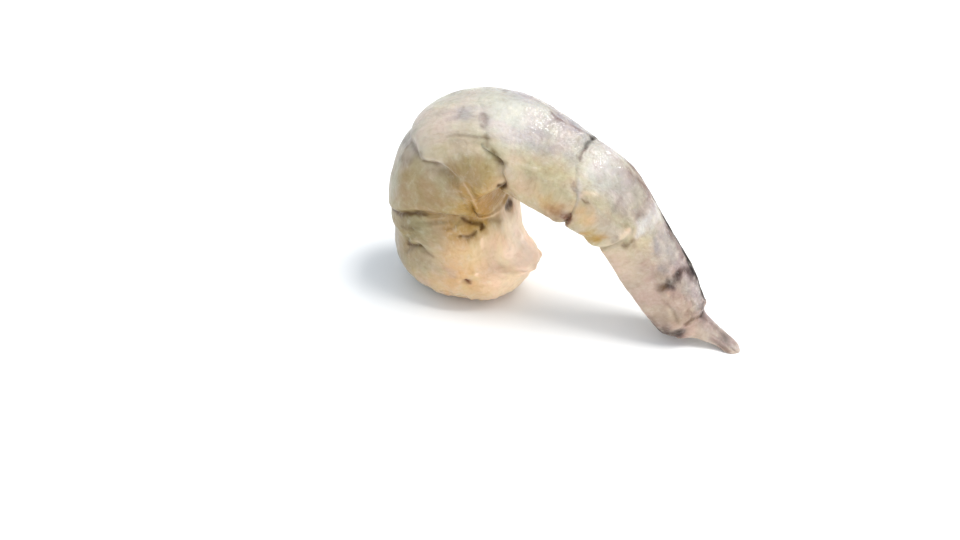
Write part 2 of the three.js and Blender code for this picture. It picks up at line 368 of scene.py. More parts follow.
# %% How deep each crease is around the body
CREASE_PROFILES = {  # angle in degrees from the back, and the share of the full depth there
    "first ring": [(0, 0), (180, 0)],
    "second ring": [(0, 0.5), (30, 0.8), (60, 0.8), (110, 0.7), (140, 0.7), (160, 0.3), (180, 0.2)],
    "third ring": [(0, 1.0), (30, 1.2), (48, 0.8), (75, 0.65), (92, 0.45), (112, 0.2), (180, 0.3)],
    "fourth ring": [(0, 0.05), (50, 0.1), (64, 0.4), (80, 0.85), (100, 0.4), (135, 0.5), (180, 0.4)],
    "fifth ring": [
        (0, 0.5), (20, 0.35), (45, 0.2), (65, 0.12), (98, 0.15), (120, 0.9), (150, 0.9), (180, 0.5),
    ],
    "sixth ring": [(0, 0.2), (40, 0.3), (75, 0.7), (110, 0.7), (180, 0.5)],
    "tail fan": [(0, 0.9), (60, 0.6), (120, 0.8), (180, 0.8)],
}
CREASE_WOBBLE = 0.35  # how much the depth strays from its profile
WOBBLE_SEED = 100  # the wobble of margin number n is drawn with this seed + n
crease_depths = []
for number, margin in enumerate(MARGINS):
    degrees, shares = zip(*CREASE_PROFILES[margin[0]])
    profile = np.interp(from_back, degrees, shares)
    wobble = CREASE_WOBBLE * ragged_line(angles, seed=WOBBLE_SEED + number)
    crease_depths.append(profile * (1 + wobble))
print(f"the creases go down to {max(depth.max() for depth in crease_depths):.2f} of their full depth")

# %% The relief of the rings, with the creases softened
softened = sum(
    (depth - 1) * crease_relief(margin, S - line, A)
    for depth, margin, line in zip(crease_depths, MARGINS, LINES)
)
relief = body_relief(S, A, LINES) + softened
print(f"the relief runs from {relief.min():.2f} to {relief.max():.2f} mm")

# %% [markdown]
# ## Noise on the unrolled prawn
#
# Nothing on an animal runs quite straight. Blender's smooth noise gives every point a small drift along
# the body and around it, and lines and zones that are placed by numbers drift with it. A Noise Texture
# could do this in the material alone, but then the folds in the mesh wouldn't drift with the stains in
# them. The noise is read on the prawn as if it were pulled straight, so the bend doesn't change its grain.

# %% Noise on the skin
SEED_STEP = (17.3, -9.1, 5.7)  # from one seed to the next, the noise is read this much further on


def noise_at(points, seed):
    """Blender's smooth noise, about -1 to 1, at each point."""
    offset = Vector([seed * step for step in SEED_STEP])
    flat = points.reshape(-1, 3)
    values = [noise.noise(Vector(point) + offset) for point in flat.tolist()]
    return np.array(values).reshape(points.shape[:-1])


def smooth_step(x, low, high):
    """0 below low, 1 above high, and smooth in between."""
    t = np.clip((x - low) / (high - low), 0, 1)
    return t * t * (3 - 2 * t)


SLOW_DRIFT, SLOW_SIZE = 1.2, 3.5  # how far the noise carries a point and the size of its lumps, in mm
FAST_DRIFT, FAST_SIZE = 0.6, 1.3
radius = girth(S)
unrolled = np.stack([S, radius * np.cos(A), radius * np.sin(A)], axis=-1)
drift_along, drift_around = (
    SLOW_DRIFT * noise_at(unrolled / SLOW_SIZE, slow_seed)
    + FAST_DRIFT * noise_at(unrolled / FAST_SIZE, fast_seed)
    for slow_seed, fast_seed in ((11, 12), (13, 14))
)
print(f"places on the skin wander by up to {np.abs(drift_along).max():.1f} mm")

# %% [markdown]
# ## Folds and wrinkles
#
# Besides the creases the flesh has folds of its own: a pocket where the first two rings slide over each
# other, a wrinkle on the shoulder, a line along the third ring's lobe. Each is a line drawn on the skin
# through a few places, and it sinks or raises the skin near it. In Sculpt Mode they would be strokes of
# the Crease brush. Here the depth of a line is a number, so it can be changed later without sculpting
# again. An angle below 0 is on the far flank, which has fewer folds than the near one.

# %% A line drawn on the skin
WAVER = 0.22  # how much a line strays with the drift of the skin
TAPER = 0.25  # the share of a line over which each of its ends fades
TAPER_POWER = 0.7  # below 1, the ends are blunter


def along_line(points):
    """How far every point of the grid is from a line in mm, on which side of it, and how far along it."""
    place = np.array([p[0] for p in points], float)
    turn = np.radians([p[1] for p in points])
    s = S + WAVER * drift_along
    angle = A + WAVER * drift_around / radius
    nearest = np.full(S.shape, np.inf)
    sign = np.zeros(S.shape)
    progress = np.zeros(S.shape)
    for i in range(len(points) - 1):
        along, across = place[i + 1] - place[i], wrapped(turn[i + 1] - turn[i]) * radius
        from_along, from_across = s - place[i], wrapped(angle - turn[i]) * radius
        share = np.clip((from_along * along + from_across * across) / (along**2 + across**2), 0, 1)
        away = np.hypot(from_along - share * along, from_across - share * across)
        closer = away < nearest
        nearest = np.where(closer, away, nearest)
        sign = np.where(closer, np.sign(from_along * across - from_across * along), sign)
        progress = np.where(closer, (i + share) / (len(points) - 1), progress)
    return nearest, sign, progress


def tapered(progress):
    """0 at both ends of a line and 1 along most of it."""
    return np.clip(np.minimum(progress, 1 - progress) / TAPER, 0, 1) ** TAPER_POWER


print(f"a line wavers by up to {WAVER * np.abs(drift_along).max():.1f} mm")

# %% The folds
FOLDS = [  # name, depth, width and lip of the fold, then its line: places along and angles around
    ("pocket", 0.8, 0.36, 0.35, [
        (17.6, 152), (16.8, 149), (15.8, 139), (15.3, 127), (15.5, 115), (16.4, 103),
    ]),
    ("pocket corner", 0.6, 0.5, 0.0, [(17.2, 142), (16.6, 147), (16.3, 151)]),
    ("under fold", 0.3, 0.3, 0.12, [(17.0, 72), (18.3, 92), (18.8, 110), (18.4, 126), (17.4, 139)]),
    ("shoulder wrinkle", 0.45, 0.5, 0.15, [(9.0, 54), (10.6, 63), (12.2, 73), (10.8, 84)]),
    ("shoulder wrinkle two", 0.25, 0.45, 0.1, [(10.6, 60), (13.0, 62), (15.4, 70)]),
    ("belly line", 0.15, 0.35, 0.1, [(16.6, 153), (15.6, 164), (14.6, 174)]),
    ("lobe line", 0.12, 0.7, 0.1, [(31.2, 112), (30.6, 124), (28.0, 135), (23.8, 143)]),
    ("side line", 0.12, 0.25, 0.05, [(30.0, 53), (32.0, 54), (34.4, 54)]),
    ("far wrinkle", 0.3, 0.5, 0.12, [(9.4, -58), (11.5, -70), (12.6, -88)]),
    ("far pocket", 0.5, 0.4, 0.25, [(16.9, -150), (15.9, -138), (15.5, -122), (15.9, -108)]),
    ("far lobe line", 0.2, 0.45, 0.1, [(31.0, -110), (30.4, -124), (27.0, -136), (23.0, -142)]),
    ("shoulder pit", 0.5, 0.42, 0.0, [(7.4, 112), (7.7, 114.5)]),
    ("tail wrinkle", 0.15, 0.35, 0.08, [(72.0, 80), (74.2, 75), (76.4, 81)]),
    ("tail wrinkle two", 0.12, 0.3, 0.06, [(73.6, 24), (75.4, 30), (76.2, 42)]),
]
LIP_PLACE, LIP_WIDE = 2, 1.6  # how far a lip is from its fold and how wide it is, in widths of the fold
for _, depth, width, lip, line in FOLDS:
    away, sign, progress = along_line(line)
    fade = tapered(progress) if len(line) > 2 else 1  # a pit, a line of two places, doesn't fade
    raised = lip * (sign < 0) * bell(away - LIP_PLACE * width, LIP_WIDE * width)
    relief = relief + fade * (raised - depth * bell(away, width))
print(f"{len(FOLDS)} folds are drawn, the deepest {max(fold[1] for fold in FOLDS)} mm")

# %% [markdown]
# ## Adding and taking away
#
# The sum of lobes and creases leaves a hollow beside the third ring's lobe, where the real flesh is plump,
# so a broad raised line fills it, as a finger of clay would. The tail tip is slimmer where it leaves the
# body than the plain skin has it, and has a waist underneath before it comes down on the table.

# %% Flesh that fills the hollow beside a side lobe
VALLEY = [(27.4, 84), (28.2, 93), (28.8, 104), (28.8, 114), (27.6, 122), (25.2, 130), (22.4, 135)]
VALLEY_FILL = 0.9
VALLEY_WIDE = 1.4
for flank in (1, -1):
    away, _, progress = along_line([(place, flank * around) for place, around in VALLEY])
    relief = relief + VALLEY_FILL * tapered(progress) * bell(away, VALLEY_WIDE)
print(f"the hollow is filled by up to {VALLEY_FILL} mm on both flanks")

# %% A slimmer tail tip
TIP_SLIMMER = 0.55  # how much comes off the sides
TIP_UNDERSIDE = 0.15  # and off the underside
TIP_FROM, TIP_TO = 78.5, 81.5  # the slimming starts and is full at these places
TIP_WAIST = 0.45
WAIST_PLACE = 84.3
WAIST_LONG = 1.6
underneath = (1 - np.cos(A)) / 2
slimmer = TIP_SLIMMER * np.sin(A) ** 2 + TIP_UNDERSIDE * underneath
relief = relief - slimmer * smooth_step(S, TIP_FROM, TIP_TO)
relief = relief - TIP_WAIST * bell(S - WAIST_PLACE, WAIST_LONG) * underneath
print(f"the tail tip is up to {slimmer.max():.2f} mm slimmer, and {TIP_WAIST} mm more at its waist")

# %% [markdown]
# ## The smoothing brush
#
# Under the side lobe and at the belly end of the pocket, several forms meet in a harder edge than soft
# flesh can hold. In Sculpt Mode one would stroke the Smooth brush over it. The same is done here in code:
# where the brush is on, each point moves to the middle of its four neighbours, many times over.

# %% The points of the skin, brushed smooth
BRUSHED = [(26.5, 122, 5.0, 3.4), (16.6, 167, 1.3, 4.0)]  # place along, angle around, length and width
BRUSH_STROKES = 160
carved = skin(S, A, relief)
brush = sum(
    bump(S, A, at, flank * around, 1, long, wide)
    for at, around, long, wide in BRUSHED
    for flank in (1, -1)
)
brush = np.minimum(brush, 1)[..., None]
points = carved
for _ in range(BRUSH_STROKES):
    neighbours = sum(np.roll(points, way, axis) for way in (1, -1) for axis in (0, 1)) / 4
    points = points + brush * (neighbours - points)
print(f"the brush moved the skin by up to {np.linalg.norm(points - carved, axis=-1).max():.2f} mm")

# %% [markdown]
# ## Lumps, fibres and torn flesh
#
# Soft flesh is never an even surface. It has slow lumps, finer ones that break up the highlights, and fine
# ridges of muscle fibre that run around the body. The torn head end is coarser and stringy, and the tail
# tip has grooves along it. A Displace modifier could do this. Here the points are moved in code, along the
# skin's own normals, because each kind of unevenness lies in a place of its own.

# %% The direction in which the skin faces
def outward(points):
    """The normal of the skin at each point of the grid."""
    down_rows = np.gradient(points, axis=0)
    across = np.roll(points, -1, axis=1) - np.roll(points, 1, axis=1)
    normal = np.cross(across, down_rows)
    normal /= np.maximum(np.linalg.norm(normal, axis=-1, keepdims=True), 1e-9)
    return normal


normals = outward(points)
middle = points.mean(axis=1, keepdims=True)
if ((points - middle) * normals).sum(axis=-1).mean() < 0:
    normals = -normals
print(f"{(normals[..., 2] > 0).mean():.0%} of the skin faces upwards")

# %% The unevenness of the flesh
TORN_TO, FIRM_FROM = 3.0, 9.0  # the flesh is torn up to the first place and firm from the second on
TIP_ROOT, TIP_PROPER = 77, 80
torn = 1 - smooth_step(S, TORN_TO, FIRM_FROM)
tail = smooth_step(S, TIP_ROOT, TIP_PROPER)
near_flap = bump(S, A, at=8.2, around=180, height=1, long=4.0, wide=5.0)
LAYERS = [  # height, the size of a lump along the body and around it in mm, seed, and where it lies
    ("slow lumps", 0.18, 5.5, 5.5, 1, 1 - 0.6 * tail),
    ("lumps", 0.11, 2.2, 2.2, 2, 1 - 0.4 * tail),
    ("fine lumps", 0.05, 1.0, 1.0, 3, 1),
    ("muscle fibres", 0.03, 0.7, 3.2, 4, 1),
    ("torn strings", 0.28, 3.0, 1.1, 5, torn),
    ("ragged flap", 0.5, 1.5, 1.5, 7, near_flap),
    ("fine rags of the flap", 0.3, 0.8, 0.8, 8, near_flap),
    ("grooves of the tail tip", 0.1, 6.0, 0.6, 6, tail),
]
unevenness = sum(
    height * noise_at(unrolled / np.array([along, around, around]), seed) * where
    for _, height, along, around, seed, where in LAYERS
)
print(f"the unevenness is {unevenness.std():.3f} mm on average")

# %% The skin in its place on the table
HEAD_FADE, TAIL_FADE = 1.5, 1.0  # the unevenness fades out over these lengths at the two ends
ends = smooth_step(S, 0, HEAD_FADE) * smooth_step(LENGTH - S, 0, TAIL_FADE)
skin_points = points + normals * (unevenness * ends)[..., None]
skin_points[..., 0] += SHIFT
skin_points[..., 2] = np.maximum(skin_points[..., 2], 0)
print(f"the prawn is {skin_points[..., 2].max():.1f} mm high")

# %% [markdown]
# ## The mesh
#
# The grid of points becomes a mesh: a ring of faces between each row and the next, and a fan of triangles
# that closes each end. A cylinder from the Add menu could be bent into shape, but a mesh made from the grid
# has its points in the grid's order, so that the masks for its pigments can be worked out on the grid too.

# %% The mesh
def make_grid_mesh(name, points):
    """A closed mesh from rows of points: a ring of faces between two rows, and a fan at each end."""
    count, around = points.shape[:2]
    body = points[1:-1].reshape(-1, 3)
    vertices = np.concatenate([points[:1, 0], body, points[-1:, 0]]) * MM
    first = 1 + np.arange(count - 2)[:, None] * around
    column = np.arange(around)[None]
    after = (column + 1) % around
    near, far = first[:-1], first[1:]
    quads = np.stack([near + column, near + after, far + after, far + column], axis=-1).reshape(-1, 4)
    last = len(vertices) - 1
    head = [(0, int(first[0, 0] + (c + 1) % around), int(first[0, 0] + c)) for c in range(around)]
    tail = [(last, int(first[-1, 0] + c), int(first[-1, 0] + (c + 1) % around)) for c in range(around)]
    mesh = bpy.data.meshes.new(name)
    mesh.from_pydata(vertices.tolist(), [], quads.tolist() + head + tail)
    mesh.update()
    mesh.shade_smooth()
    return mesh


flesh_mesh = make_grid_mesh("prawn_flesh", skin_points)
prawn = bpy.data.objects.new("prawn_flesh", flesh_mesh)
bpy.context.scene.collection.objects.link(prawn)
print(f"the flesh has {len(flesh_mesh.vertices)} points and {len(flesh_mesh.polygons)} faces")

# %% [markdown]
# ## Where the pigments and the painted light and shade are
#
# Raw prawn flesh is nearly clear. Its colours come from what lies in it: milky muscle along the back,
# olive and tan where the gut and the thick muscle show through, amber at the belly, peach and blush at the
# torn shoulder, and the lilac-grey and near-black pigment that the shell leaves behind. Some masks carry
# painted light and shade as well. The milky and blush masks also paint pale lit lips and lighten faces
# that the lamps leave dim. The pearl mask paints light on the flap, which lies in the arch's shade. The
# bark and mauve masks also paint shade in the creases, the folds and the pocket. One could paint them in
# Texture
# Paint. Here each of them is a mask, a number for each point of the mesh, laid on in soft zones and in
# strokes, so that it needs no image and no unwrapping.

# %% A mask for each pigment
TINTS = [  # in the order in which they are laid over each other
    "milky_and_painted_light", "olive", "tan", "amber", "peach", "rosy", "lilac", "blush_and_painted_light", "pearl_painted_light", "mauve_and_painted_shade", "bark_and_painted_shade", "rust",
    "ink",
]
paint = {tint: np.zeros(S.shape) for tint in TINTS}


def lay(tint, share):
    """Adds to a pigment's mask, so that two layers never come to more than full."""
    paint[tint] = 1 - (1 - paint[tint]) * (1 - np.clip(share, 0, 1))


def zone(start, end, low, high, soft):
    """1 between two places along the body and two angles around it, with soft and wandering edges."""
    s = S + drift_along
    along = smooth_step(s, start - soft, start + soft) * (1 - smooth_step(s, end - soft, end + soft))
    from_middle = wrapped(A + drift_around / radius - math.radians((low + high) / 2)) * radius
    half = math.radians((high - low) / 2) * radius
    return along * (1 - smooth_step(np.abs(from_middle), half - soft, half + soft))


print(f"{len(TINTS)} pigments have empty masks")

# %% Zones of pigment at the head end
ZONES = [  # pigment, strength, from and to along, from and to around, and how soft the edge is in mm
    # torn shoulder and first ring
    ("peach", 0.6, -4, 14.5, 88, 180, 2.0),
    ("blush_and_painted_light", 0.72, -4, 14, 136, 224, 2.5),
    # painted light: these blush and pearl zones lighten the cheek and the torn flap, which lie in the
    # arch's shade
    ("blush_and_painted_light", 0.6, 9, 16.0, 176, 214, 1.2),
    ("blush_and_painted_light", 0.8, 3.5, 12, 166, 194, 2.0),
    ("pearl_painted_light", 0.9, 8.6, 12.0, 164, 190, 1.0),
    ("pearl_painted_light", 0.6, 11.5, 14.5, 173, 190, 0.8),
    ("mauve_and_painted_shade", 0.2, 8.8, 13.4, 136, 156, 1.0),
    ("milky_and_painted_light", 0.3, -4, 5, 90, 180, 1.8),
    ("peach", 0.35, -4, 7, 60, 100, 2.0),
    ("tan", 0.2, 5, 14, 85, 115, 2.0),
    ("milky_and_painted_light", 0.5, -4, 5.5, 66, 112, 1.8),
    ("tan", 0.3, 4, 15, 38, 80, 2.5),
    ("olive", 0.5, 8.5, 15, 48, 78, 1.8),
    ("lilac", 0.35, 5, 13, -50, 46, 2.0),
    ("olive", 0.65, 13.5, 18, 20, 84, 1.4),
    ("tan", 0.6, 14, 19.5, 84, 150, 1.2),
    ("amber", 0.4, 14.5, 18.5, 100, 155, 1.0),
    # second ring
    ("olive", 0.3, 18, 25, 22, 54, 2.0),
    ("tan", 0.68, 18, 25.5, 50, 150, 2.0),
    ("olive", 0.35, 18, 26, 80, 130, 2.0),
    ("amber", 0.85, 16, 30, 135, 225, 2.0),
    ("lilac", 0.45, 16, 26, -58, 26, 2.3),
    # painted light: this milky zone lightens a face that looks up and away from the key lamp
    ("milky_and_painted_light", 0.3, 18.5, 25, 30, 52, 2.0),
]
print(f"{len(ZONES)} zones so far")

# %% Zones of pigment on the bend
ZONES += [
    # third ring
    ("milky_and_painted_light", 0.4, 26, 33, -58, 40, 3.3),
    ("lilac", 0.12, 27.5, 33, -58, 16, 2.8),
    ("milky_and_painted_light", 0.35, 25.5, 31, 14, 60, 1.5),
    ("olive", 0.1, 27.5, 33, 56, 85, 1.5),
    # painted light: this blush zone lightens a face that looks up and away from the key lamp
    ("blush_and_painted_light", 0.3, 26.5, 30.5, 10, 74, 1.5),
    ("tan", 0.6, 26.6, 36.5, 80, 140, 1.5),
    # painted shade on the shaded side of the third ring's fold
    ("bark_and_painted_shade", 0.12, 26, 31, 84, 122, 1.5),
    ("amber", 0.35, 27, 37, 108, 126, 1.5),
    ("olive", 0.45, 27.0, 36.5, 80, 140, 1.5),
    ("amber", 0.75, 20, 36, 116, 190, 2.0),
    ("olive", 0.5, 17.0, 27, 130, 210, 1.5),
    ("bark_and_painted_shade", 0.2, 17.5, 31, 128, 215, 1.5),
    # fourth ring
    ("milky_and_painted_light", 0.65, 33, 40, -40, 58, 2.5),
    ("lilac", 0.5, 32.5, 38, -58, 0, 2.6),
    ("amber", 0.12, 32.8, 35.8, 38, 68, 1.0),
    ("lilac", 0.85, 39, 47.5, -58, 6, 2.6),
    ("lilac", 0.65, 38, 47, 5, 43, 1.8),
    ("olive", 0.32, 39, 47, 30, 88, 2.5),
    ("peach", 0.3, 39, 49, 90, 118, 2.0),
    # painted light: this blush zone lightens the fourth ring's flank where its fold shades it
    ("blush_and_painted_light", 0.22, 36.6, 41, 62, 112, 1.2),
    ("amber", 0.3, 35, 40, 104, 150, 1.5),
    ("tan", 0.15, 36, 40, 98, 150, 1.5),
    ("rust", 0.25, 45.5, 50, 102, 135, 1.3),
]
print(f"{len(ZONES)} zones so far")

# %% Zones of pigment towards the tail
ZONES += [
    # fifth ring
    ("milky_and_painted_light", 0.6, 47.5, 51, -58, 45, 2.1),
    ("lilac", 0.35, 47.5, 51, -58, 20, 2.1),
    ("milky_and_painted_light", 0.45, 50, 55, 0, 55, 1.8),
    ("olive", 0.4, 51.5, 58, 10, 62, 2.0),
    ("lilac", 0.55, 50.5, 59, -20, 50, 2.0),
    ("mauve_and_painted_shade", 0.5, 51.5, 57.8, -58, 10, 2.6),
    ("tan", 0.2, 51, 56, 62, 90, 1.5),
    ("milky_and_painted_light", 0.25, 52, 58, 62, 98, 1.5),
    ("peach", 0.3, 49.5, 55, 88, 116, 1.8),
    ("amber", 0.4, 54.6, 58.0, 102, 138, 0.9),
    ("milky_and_painted_light", 0.3, 51, 56, 118, 150, 1.5),
    # sixth ring
    ("milky_and_painted_light", 0.45, 57.8, 60.4, -50, 40, 0.8),
    ("lilac", 0.7, 60, 78, -40, 34, 2.0),
    ("olive", 0.45, 60.5, 67, -5, 54, 1.8),
    ("olive", 0.3, 59.5, 62, 62, 84, 0.9),
    ("rosy", 0.55, 62, 78, 10, 190, 3.0),
    ("tan", 0.25, 69, 79, 5, 80, 2.5),
    ("mauve_and_painted_shade", 0.55, 61.5, 78, -80, -4, 1.2),
    ("mauve_and_painted_shade", 0.2, 59.8, 65, -20, 46, 1.5),
    ("mauve_and_painted_shade", 0.35, 66, 74, -14, 70, 1.5),
    ("blush_and_painted_light", 0.3, 59.5, 66, 80, 180, 2.0),
    ("mauve_and_painted_shade", 0.5, 74.5, 79, 95, 180, 1.2),
    ("mauve_and_painted_shade", 0.35, 74, 79, -10, 70, 1.5),
    ("tan", 0.3, 72.5, 76.5, 92, 124, 1.5),
    # tail tip
    ("rosy", 0.6, 77, 90, -180, 180, 1.0),
    ("lilac", 0.6, 78, 90, -58, 34, 1.8),
    ("milky_and_painted_light", 0.25, 81, 90, 34, 110, 1.0),
    ("mauve_and_painted_shade", 0.3, 77.5, 80.5, 36, 72, 0.9),
    ("tan", 0.35, 75.5, 80.2, 62, 104, 1.0),
    ("mauve_and_painted_shade", 0.4, 77.5, 81, -40, 40, 0.8),
]
print(f"{len(ZONES)} zones so far")

# %% Lay the zones on
NEAR_ONLY = 30  # what comes nearer to the back than this many degrees isn't repeated on the far flank,
BELLY = 180  # and neither is a zone that reaches the belly
for tint, strength, start, end, low, high, soft in ZONES:
    lay(tint, strength * zone(start, end, low, high, soft))
    if low >= NEAR_ONLY and high < BELLY:
        lay(tint, strength * zone(start, end, -high, -low, soft))
print(f"milky flesh covers {(paint['milky_and_painted_light'] > 0.5).mean():.0%} of the points")

# %% [markdown]
# ## Strokes of pigment, painted shade and painted highlight
#
# Dark lines along the creases, along the folds and in the pocket are painted shade, and pale lines along
# some lips are painted highlight. A near-black line of pigment runs along the back of the last ring. They
# are drawn like the folds, as lines on the skin, and each stroke is patchy, because a line of even width
# and darkness looks drawn with a pen.

# %% Strokes around the pocket and on the shoulder
STROKES = [  # pigment, strength, width in mm, and the line: places along and angles around
    # the fold between the first two rings: painted shadow under the second ring's edge
    ("bark_and_painted_shade", 0.85, 0.45, [(16.0, 20), (16.4, 31), (17.1, 52), (18.1, 68), (18.9, 82)]),
    ("bark_and_painted_shade", 0.4, 0.35, [(18.5, 72), (19.6, 82), (20.2, 100), (20.0, 120), (19.3, 132)]),
    ("olive", 0.7, 0.8, [(17.6, 58), (18.6, 76), (19.2, 90)]),
    # the pocket under it: painted shade inside it, and a painted highlight along the rim of the lobe below
    ("bark_and_painted_shade", 0.4, 0.3, [(16.8, 100), (17.4, 110), (18.6, 119)]),
    ("bark_and_painted_shade", 0.9, 0.5, [(19.1, 121), (18.4, 127), (17.4, 134), (16.8, 144)]),
    ("bark_and_painted_shade", 0.85, 0.45, [(15.6, 114), (15.4, 121), (15.3, 130), (15.8, 137)]),
    ("bark_and_painted_shade", 1.0, 0.75, [(16.6, 146), (16.2, 145), (15.7, 142)]),
    ("bark_and_painted_shade", 0.35, 0.45, [(16.8, 151), (15.9, 162), (15.0, 172)]),
    ("tan", 0.6, 0.7, [(16.9, 98), (16.4, 108), (17.0, 124), (16.6, 136)]),
    ("blush_and_painted_light", 0.25, 0.35, [(17.6, 144), (17.0, 152), (16.4, 163), (16.0, 174)]),
    # the dark corner between the arch and the torn end: painted shade where the rings and the belly meet
    ("amber", 0.9, 1.1, [(15.9, -165), (16.1, -171), (15.9, -178)]),
    ("bark_and_painted_shade", 1.0, 0.6, [(15.9, -165), (16.1, -171), (15.9, -178)]),
    # the shoulder, with painted shade in its wrinkles and a painted highlight beside the dark brown dot
    ("bark_and_painted_shade", 0.4, 0.45, [(15.5, 56), (15.8, 66), (16.4, 76)]),
    ("bark_and_painted_shade", 0.75, 0.5, [(10.4, 59), (10.8, 62), (11.4, 68), (12.1, 75)]),
    ("bark_and_painted_shade", 0.35, 0.45, [(12.8, 58), (12.2, 61), (10.8, 61), (9.3, 59)]),
    ("bark_and_painted_shade", 0.35, 0.5, [(11.9, 75), (11.3, 80), (11.0, 85)]),
    ("rust", 1.0, 0.62, [(7.6, 113.5), (7.75, 117)]),
    ("rust", 0.5, 0.25, [(7.2, 117), (7.0, 119)]),
    ("amber", 0.6, 0.3, [(9.2, 109), (9.4, 113)]),
    ("amber", 0.35, 0.9, [(8.2, 112), (8.8, 118), (9.4, 122)]),
    ("blush_and_painted_light", 1.0, 0.4, [(8.9, 126), (9.1, 128)]),
    ("blush_and_painted_light", 0.6, 0.5, [(14.3, 140), (13.4, 138)]),
    ("rosy", 0.4, 1.2, [(9.6, 96), (8.4, 103)]),
]
print(f"{len(STROKES)} strokes so far")

# %% Strokes on the second to fourth rings
STROKES += [
    # second ring and the front of the third: the dark lines along its crease and folds are painted shade,
    # and the pale lines along its lip are a painted highlight
    ("mauve_and_painted_shade", 0.5, 0.4, [(23.9, 5), (24.6, 20), (25.0, 34)]),
    ("mauve_and_painted_shade", 0.35, 0.6, [(23.6, 36), (24.2, 46), (24.8, 54)]),
    ("bark_and_painted_shade", 0.55, 0.35, [(26.0, 63), (26.8, 70), (27.8, 76)]),
    ("mauve_and_painted_shade", 0.5, 0.35, [(25.4, 22), (25.8, 36), (26.0, 52), (26.4, 64)]),
    ("bark_and_painted_shade", 0.22, 0.5, [(25.8, 73), (26.9, 81), (28.0, 86), (28.2, 95), (28.4, 104), (27.6, 112)]),
    ("milky_and_painted_light", 0.4, 0.4, [(26.3, 62), (27.6, 72), (28.8, 88), (29.4, 98), (29.6, 108)]),
    ("blush_and_painted_light", 0.35, 0.32, [(29.8, 106), (29.7, 113), (29.2, 121), (27.8, 128), (24.9, 133), (21.0, 141)]),
    ("bark_and_painted_shade", 0.3, 0.5, [(27.4, 113), (24.6, 125), (21.6, 132)]),
    ("bark_and_painted_shade", 0.35, 0.6, [(31.3, 112), (30.7, 122), (28.0, 134), (23.8, 142)]),
    ("lilac", 0.6, 0.9, [(29.0, 20), (30.2, 23), (31.8, 23), (31.4, 31), (30.1, 33)]),
    ("bark_and_painted_shade", 0.35, 0.28, [(29.9, 53), (32.0, 54), (34.5, 54)]),
    ("mauve_and_painted_shade", 0.65, 0.5, [(33.4, 24), (33.6, 33), (33.7, 40)]),
    ("bark_and_painted_shade", 0.45, 0.4, [(34.1, 50), (34.4, 57), (34.6, 65)]),
    ("mauve_and_painted_shade", 0.6, 0.5, [(28.9, -22), (29.1, -14), (29.0, -6)]),
    # third to fourth ring: the dark bark and olive lines in its crease are painted shade
    ("bark_and_painted_shade", 0.6, 0.45, [(35.5, 68), (36.1, 75), (36.9, 84)]),
    ("olive", 0.6, 0.9, [(35.2, 68), (35.8, 76), (36.4, 84)]),
    ("bark_and_painted_shade", 0.4, 0.4, [(37.8, 76), (37.2, 79), (36.8, 82)]),
    ("bark_and_painted_shade", 1.0, 0.8, [(36.9, 111), (37.4, 115), (37.3, 120)]),
    ("bark_and_painted_shade", 0.6, 0.8, [(36.8, 120), (36.9, 128)]),
    ("rust", 0.3, 0.6, [(39.3, 118), (39.4, 126), (39.6, 134)]),
    ("mauve_and_painted_shade", 0.75, 0.45, [(39.4, -18), (40.4, -12), (41.2, -14)]),
    ("mauve_and_painted_shade", 0.55, 0.4, [(41.2, -14), (43.0, -19), (44.6, -23), (46.0, -28)]),
    ("mauve_and_painted_shade", 0.6, 0.5, [(33.2, -38), (33.6, -16)]),
    ("mauve_and_painted_shade", 0.3, 0.8, [(35.8, -24), (38.0, -25), (40.4, -24)]),
    ("mauve_and_painted_shade", 0.5, 0.4, [(31.3, -34), (31.7, -18)]),
    ("mauve_and_painted_shade", 0.6, 0.6, [(35.5, -40), (39.5, -40), (42.0, -40), (46.0, -44)]),
]
print(f"{len(STROKES)} strokes so far")

